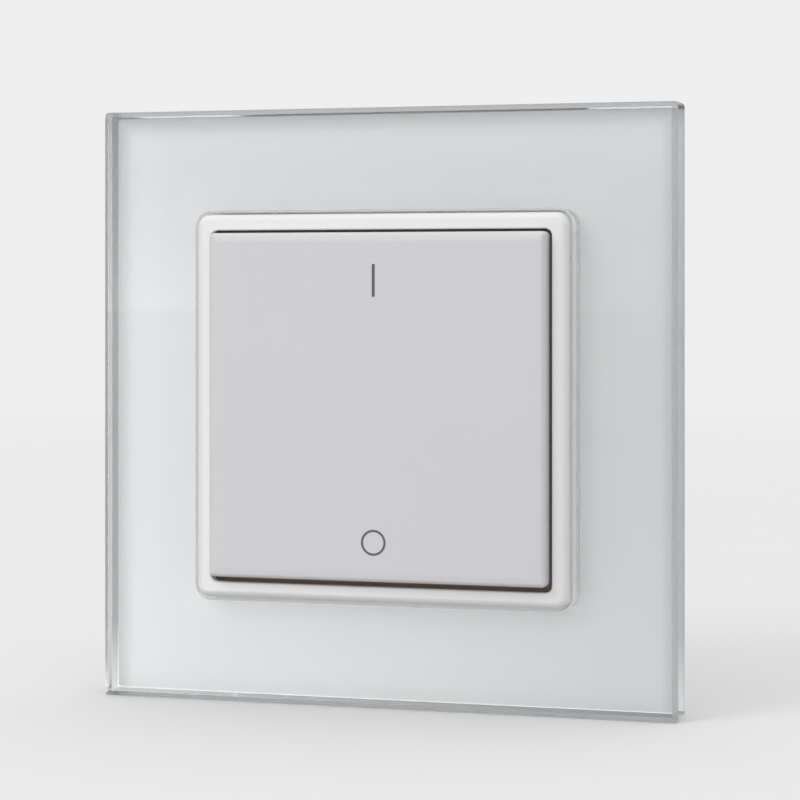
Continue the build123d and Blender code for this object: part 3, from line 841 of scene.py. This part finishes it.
# Painted reflection: where a gloss sees the floor at a flat angle, it glows with the card.
painted_card_reflection = card(paint, paint.vectors("SUBTRACT", paint.place, CARD_TIP))
painted_card_reflection = painted_card_reflection * flat_look.above(*FLAT_ANGLE) * PAINTED_REFLECTION_SHARE
shine = gloss_looks * (painted_card_reflection + FLOOR_MIRRORED - behind * FLOOR_MIRRORED)
shine = shine + glass_looks * (1 - behind) + camera_looks * PALE
glow = paint.add("ShaderNodeEmission", sockets={"Strength": shine})
away = paint.vectors("LENGTH", paint.place, output=1)
glowing = away.above(*FLOOR_FADE) * camera_looks + gloss_looks + glass_looks
both = paint.add("ShaderNodeMixShader", sockets={0: glowing, 1: matt, 2: glow})
paint.add("ShaderNodeOutputMaterial", sockets={"Surface": both})
floor_mesh.materials.append(paint.material)
print("floor at z in mm:", round(floor.location.z / MM, 2))

# %% [markdown]
# In the world, the card ends a little above the horizon. The light itself changes slowly with the
# direction that it comes from, so that no shadow has a hard edge.

# %% World
BEFORE = 1.10
TO_BEHIND = (0.0, 0.8)
CARD_TOP = (0.035, 0.09)
LIGHT_LEVEL = 0.73
LIGHT_FROM_RIGHT = 0.05
LIGHT_FROM_FRONT = 0.04
LIGHT_FROM_ABOVE = 0.52

world = bpy.data.worlds.new("studio")
bpy.context.scene.world = world
room = Finish("studio", world)
way = room.add("ShaderNodeTexCoord", output="Generated")
light = LIGHT_LEVEL
for axis, share in enumerate((LIGHT_FROM_RIGHT, -LIGHT_FROM_FRONT, LIGHT_FROM_ABOVE)):
    light = light + room.along(axis, way) * share
camera_looks, gloss_looks, glass_looks = lookers(room)
even = BEFORE - room.along(1, way).above(*TO_BEHIND) * (BEFORE - BEHIND)
low = 1 - room.along(2, way).above(*CARD_TOP)
strength = camera_looks * PALE + glass_looks * even + gloss_looks * (even + card(room, way) * low)
strength = strength + (1 - camera_looks) * (1 - gloss_looks) * (1 - glass_looks) * light
sky = room.add("ShaderNodeBackground", sockets={"Color": (1, 1, 1, 1), "Strength": strength})
room.add("ShaderNodeOutputWorld", sockets={"Surface": sky})
print("world nodes:", len(room.tree.nodes))

# %% [markdown]
# One soft lamp stands at the upper left in front. It gives the key its soft shadow on the right
# and the lower side of the bezel. Its own reflection would be a hard patch, so a gloss doesn't see
# it. Its level is what it adds to the light on a face turned to it.

# %% Lamp
LAMP_AROUND = math.radians(-36)
LAMP_UP = math.radians(32)
LAMP_DISTANCE = 1.2
LAMP_SIDE = 0.5
LAMP_LEVEL = 0.24
to_lamp = Vector((
    math.sin(LAMP_AROUND) * math.cos(LAMP_UP),
    -math.cos(LAMP_AROUND) * math.cos(LAMP_UP),
    math.sin(LAMP_UP),
))

lamp_data = bpy.data.lights.new("key_lamp", "AREA")
lamp_data.size = LAMP_SIDE
lamp_data.energy = LAMP_LEVEL * (math.pi * LAMP_DISTANCE) ** 2
lamp = bpy.data.objects.new("key_lamp", lamp_data)
lamp.location = Vector((0, glass_low.y, 0)) + LAMP_DISTANCE * to_lamp
lamp.rotation_euler = to_lamp.to_track_quat("Z", "Y").to_euler()
lamp.visible_camera = False
lamp.visible_glossy = False
bpy.context.scene.collection.objects.link(lamp)
print("lamp in watts:", round(lamp_data.energy, 2))

# %% [markdown]
# ## Settings and the last step
#
# The colours are shown as they are written, so the view transform is the standard one.

# %% Finish
bpy.context.scene.view_settings.view_transform = "Standard"
